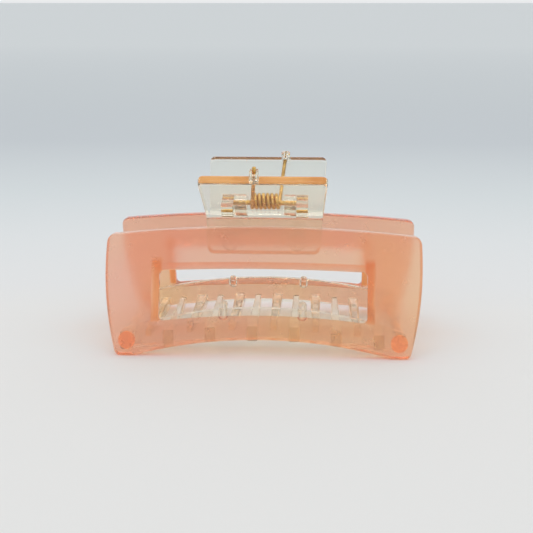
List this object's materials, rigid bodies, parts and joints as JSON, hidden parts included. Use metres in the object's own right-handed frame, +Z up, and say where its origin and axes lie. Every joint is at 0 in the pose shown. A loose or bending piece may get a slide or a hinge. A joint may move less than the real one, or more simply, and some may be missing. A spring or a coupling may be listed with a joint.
{
  "type": "claw clip",
  "caption": "Rectangular hair claw clip: two tinted windowed panels on clear handles and clear interlocking tooth bars, hinged on a pin and held shut by a torsion spring.",
  "frame": {"origin": "on the surface the closed clip stands on, midway between the two jaws and midway along the clip", "axes": "+X along the clip's length, front jaw on the -Y side and back jaw on the +Y side, +Z up towards the handles"},
  "size_m": [0.09, 0.0476, 0.0536],
  "materials": {
    "tinted_plastic": "glossy translucent peach-pink moulded plastic",
    "clear_plastic": "glossy clear plastic with a faint yellow cast",
    "adhesive": "cured amber adhesive",
    "gold_metal": "bright gold-coloured spring wire and rod"
  },
  "bodies": {
    "front_jaw": {"front_panel": "tinted_plastic", "front_handle": "clear_plastic", "front_tooth_bar": "clear_plastic", "front_adhesive_pads": "adhesive", "hinge_pin": "gold_metal", "torsion_spring": "gold_metal"},
    "back_jaw": {"back_panel": "tinted_plastic", "back_handle": "clear_plastic", "back_tooth_bar": "clear_plastic", "back_adhesive_pads": "adhesive"}
  },
  "joints": [
    {"name": "jaw_hinge", "type": "hinge", "parent": "front_jaw", "child": "back_jaw", "pos_m": [0, 0, 0.041], "axis": [1, 0, 0], "range_deg": [0, 110], "stiffness_Nm_per_rad": 0.08, "springref_deg": -45.84, "deforming": ["torsion_spring"]}
  ]
}
